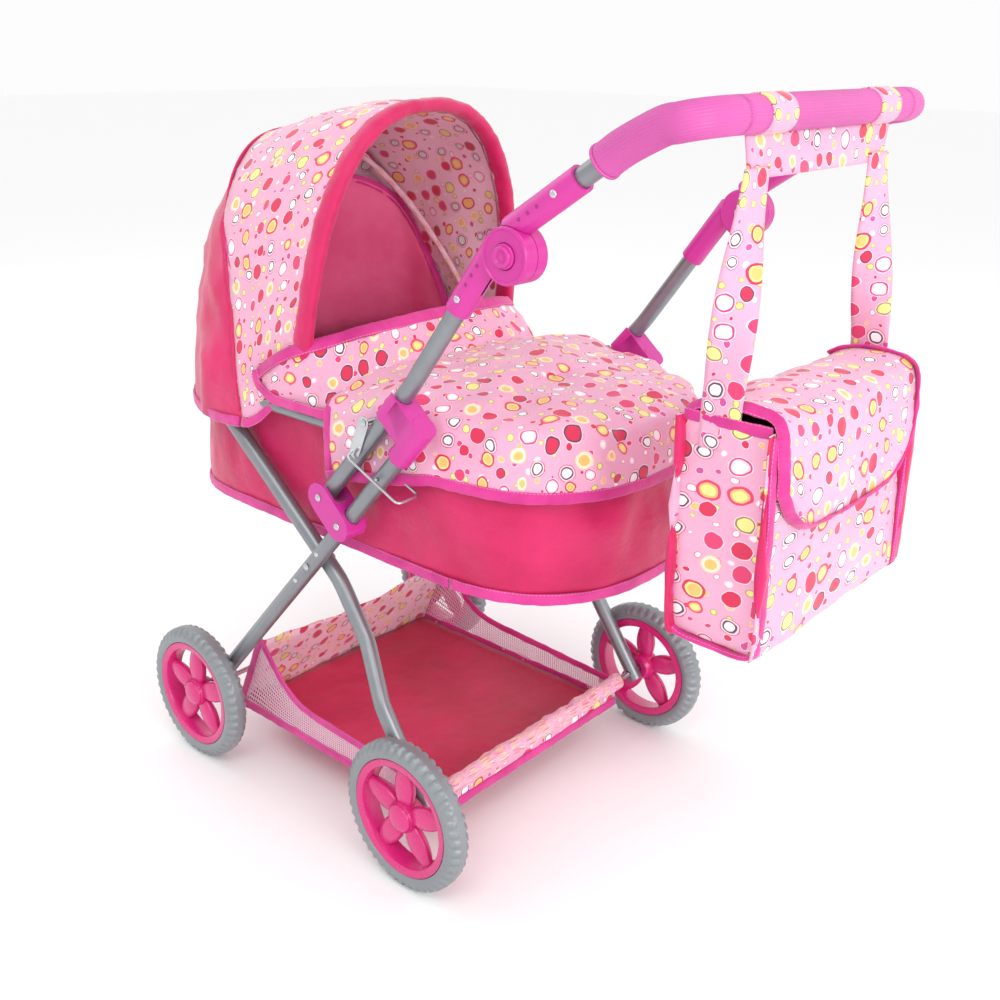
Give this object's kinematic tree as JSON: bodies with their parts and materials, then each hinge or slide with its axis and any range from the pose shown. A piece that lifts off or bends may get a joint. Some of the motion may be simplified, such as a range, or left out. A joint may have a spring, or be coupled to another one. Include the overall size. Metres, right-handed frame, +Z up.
{
  "type": "doll stroller",
  "caption": "Folding doll stroller: crossed tube frame on spoked wheels, oval fabric cot with hinged hood and foot cover, angle-adjustable push handle, hanging bag and under-basket.",
  "frame": {"origin": "centre of the bounding box's underside, on the floor between the wheels", "axes": "+Z up; +Y to the rear, where the push handle is; -Y to the hood's end; +X is the stroller's left side as it travels hood first"},
  "size_m": [0.4038, 0.7342, 0.7229],
  "materials": {
    "board": "plain fibreboard",
    "bright_steel": "bright zinc",
    "grey_tube": "semi-gloss grey",
    "hot_pink_fabric": "woven nylon",
    "pink_grip": "soft ribbed sleeve",
    "printed_fabric": "printed weave, padded",
    "purple_plastic": "moulded, semi-gloss",
    "tyre_grey": "grey, blocked tread",
    "wheel_pink": "moulded, gloss"
  },
  "bodies": {
    "front_frame": {"front_axle": "bright_steel", "basket": "hot_pink_fabric", "front_leg_left": "grey_tube", "frame_bracket_left": "purple_plastic", "cross_pin_left": "bright_steel", "fold_pin_left": "bright_steel", "front_leg_right": "grey_tube", "frame_bracket_right": "purple_plastic", "cross_pin_right": "bright_steel", "fold_pin_right": "bright_steel"},
    "rear_legs": {"rear_axle": "bright_steel", "rear_leg_left": "grey_tube", "rear_leg_right": "grey_tube"},
    "lower_handle": {"handle_tube_left": "grey_tube", "hinge_plate_left": "bright_steel", "cot_bolt_left": "bright_steel", "lower_connector_left": "purple_plastic", "joint_pin_left": "bright_steel", "button_spring_left": "bright_steel", "handle_tube_right": "grey_tube", "hinge_plate_right": "bright_steel", "cot_bolt_right": "bright_steel", "lower_connector_right": "purple_plastic", "joint_pin_right": "bright_steel", "button_spring_right": "bright_steel"},
    "upper_handle": {"push_handle_tube": "grey_tube", "handle_grip": "pink_grip", "upper_connector_left": "purple_plastic", "upper_connector_right": "purple_plastic"},
    "cot": {"cot_rail_left": "grey_tube", "cot_rail_right": "grey_tube", "hood_hinge_left": "bright_steel", "hood_hinge_right": "bright_steel", "cot_shell": "hot_pink_fabric", "base_board": "board", "hem_wire": "bright_steel", "apron": "printed_fabric", "hood_back": "hot_pink_fabric"},
    "hood_middle": {"hood_middle_bow": "bright_steel"},
    "hood_front": {"hood_front_bow": "bright_steel", "hood_canopy": "printed_fabric"},
    "bag": {"bag_body": "printed_fabric", "bag_strap": "printed_fabric"},
    "bag_cover": {"bag_flap": "printed_fabric"},
    "lock_wire_left": {"lock_wire_left": "bright_steel"},
    "lock_clip_left": {"lock_clip_left": "purple_plastic"},
    "angle_button_left": {"angle_button_left": "purple_plastic"},
    "front_wheel_left": {"front_wheel_left": "wheel_pink", "front_tyre_left": "tyre_grey"},
    "rear_wheel_left": {"rear_wheel_left": "wheel_pink", "rear_tyre_left": "tyre_grey"},
    "lock_wire_right": {"lock_wire_right": "bright_steel"},
    "lock_clip_right": {"lock_clip_right": "purple_plastic"},
    "angle_button_right": {"angle_button_right": "purple_plastic"},
    "front_wheel_right": {"front_wheel_right": "wheel_pink", "front_tyre_right": "tyre_grey"},
    "rear_wheel_right": {"rear_wheel_right": "wheel_pink", "rear_tyre_right": "tyre_grey"}
  },
  "joints": [
    {"name": "frame_fold", "type": "hinge", "parent": "front_frame", "child": "lower_handle", "pos_m": [0, -0.06168, 0.34716], "axis": [1, 0, 0], "range_deg": [0, 105], "deforming": ["cot_shell", "base_board", "hem_wire", "apron", "hood_back", "hood_canopy", "basket"]},
    {"name": "rear_leg_fold", "type": "hinge", "parent": "front_frame", "child": "rear_legs", "pos_m": [0, -0.08733, 0.26838], "axis": [1, 0, 0], "range_deg": [0, 71]},
    {"name": "cot_fold", "type": "hinge", "parent": "lower_handle", "child": "cot", "pos_m": [0, -0.00012, 0.43289], "axis": [1, 0, 0], "range_deg": [-49, 0]},
    {"name": "hood_fold", "type": "hinge", "parent": "cot", "child": "hood_middle", "pos_m": [0, -0.12512, 0.4134], "axis": [1, 0, 0], "range_deg": [0, 35], "deforming": ["hood_canopy", "hood_back"]},
    {"name": "hood_front_fold", "type": "hinge", "parent": "hood_middle", "child": "hood_front", "pos_m": [0, -0.12512, 0.4134], "axis": [1, 0, 0], "range_deg": [0, 36]},
    {"name": "handle_angle", "type": "hinge", "parent": "lower_handle", "child": "upper_handle", "pos_m": [0, 0.16257, 0.59934], "axis": [1, 0, 0], "range_deg": [-8, 45]},
    {"name": "bag_swing", "type": "hinge", "parent": "upper_handle", "child": "bag", "pos_m": [0, 0.31857, 0.70724], "axis": [1, 0, 0], "range_deg": [-6, 40]},
    {"name": "bag_cover_lift", "type": "hinge", "parent": "bag", "child": "bag_cover", "pos_m": [0, 0.28557, 0.49124], "axis": [1, 0, 0], "range_deg": [0, 45]},
    {"name": "lock_wire_turn_left", "type": "hinge", "parent": "front_frame", "child": "lock_wire_left", "pos_m": [0.168, 0.01505, 0.38409], "axis": [1, 0, 0], "range_deg": [0, 30]},
    {"name": "lock_clip_slide_left", "type": "slide", "parent": "front_frame", "child": "lock_clip_left", "axis": [0, 0.6626, 0.749], "range_m": [0, 0.015]},
    {"name": "angle_button_press_left", "type": "slide", "parent": "lower_handle", "child": "angle_button_left", "axis": [-1, 0, 0], "range_m": [0, 0.0025], "stiffness_N_per_m": 800, "springref_m": -0.0004, "deforming": ["button_spring_left"]},
    {"name": "front_wheel_spin_left", "type": "hinge", "parent": "front_frame", "child": "front_wheel_left", "pos_m": [0.1885, -0.26093, 0.07215], "axis": [1, 0, 0], "continuous": true},
    {"name": "rear_wheel_spin_left", "type": "hinge", "parent": "rear_legs", "child": "rear_wheel_left", "pos_m": [0.1885, 0.06007, 0.07215], "axis": [1, 0, 0], "continuous": true},
    {"name": "lock_wire_turn_right", "type": "hinge", "parent": "front_frame", "child": "lock_wire_right", "pos_m": [-0.168, 0.01505, 0.38409], "axis": [1, 0, 0], "range_deg": [0, 30]},
    {"name": "lock_clip_slide_right", "type": "slide", "parent": "front_frame", "child": "lock_clip_right", "axis": [0, 0.6626, 0.749], "range_m": [0, 0.015]},
    {"name": "angle_button_press_right", "type": "slide", "parent": "lower_handle", "child": "angle_button_right", "axis": [1, 0, 0], "range_m": [0, 0.0025], "stiffness_N_per_m": 800, "springref_m": -0.0004, "deforming": ["button_spring_right"]},
    {"name": "front_wheel_spin_right", "type": "hinge", "parent": "front_frame", "child": "front_wheel_right", "pos_m": [-0.1885, -0.26093, 0.07215], "axis": [1, 0, 0], "continuous": true},
    {"name": "rear_wheel_spin_right", "type": "hinge", "parent": "rear_legs", "child": "rear_wheel_right", "pos_m": [-0.1885, 0.06007, 0.07215], "axis": [1, 0, 0], "continuous": true}
  ],
  "couplings": [
    {"joint": "rear_leg_fold", "follows": "frame_fold", "ratio": 0.662},
    {"joint": "cot_fold", "follows": "frame_fold", "ratio": -0.4527},
    {"joint": "hood_front_fold", "follows": "hood_fold", "ratio": 1}
  ]
}
